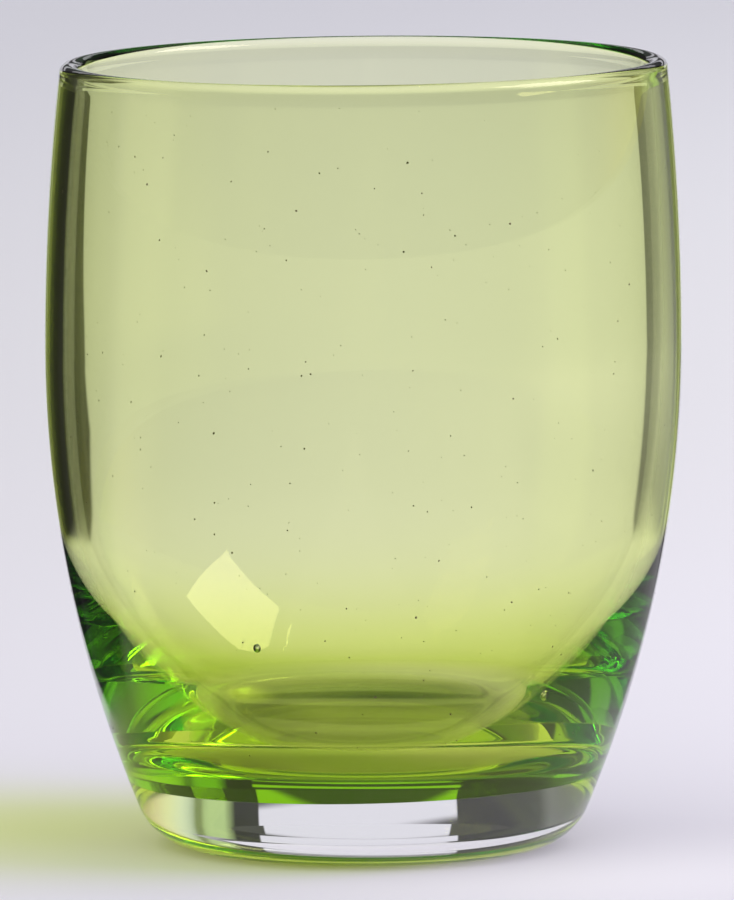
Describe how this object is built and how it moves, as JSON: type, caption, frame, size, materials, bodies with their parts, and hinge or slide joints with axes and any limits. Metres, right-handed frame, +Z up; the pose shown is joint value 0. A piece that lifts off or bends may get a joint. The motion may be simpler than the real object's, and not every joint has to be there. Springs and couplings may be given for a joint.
{
  "type": "tumbler",
  "caption": "Barrel-shaped drinking tumbler in two glasses: a yellow-green cup with a thick rounded bottom, joined at a flat seam to a clear base.",
  "frame": {"origin": "on the table, under the middle of the base", "axes": "+Z up along the axis of the glass, out of its mouth; the front that the picture shows faces -Y"},
  "size_m": [0.0808, 0.0808, 0.1],
  "materials": {
    "green_glass": "yellow-green all through, fire-polished",
    "clear_glass": "clear, fire-polished"
  },
  "bodies": {
    "root": {"green_cup": "green_glass", "clear_base": "clear_glass"}
  },
  "joints": []
}
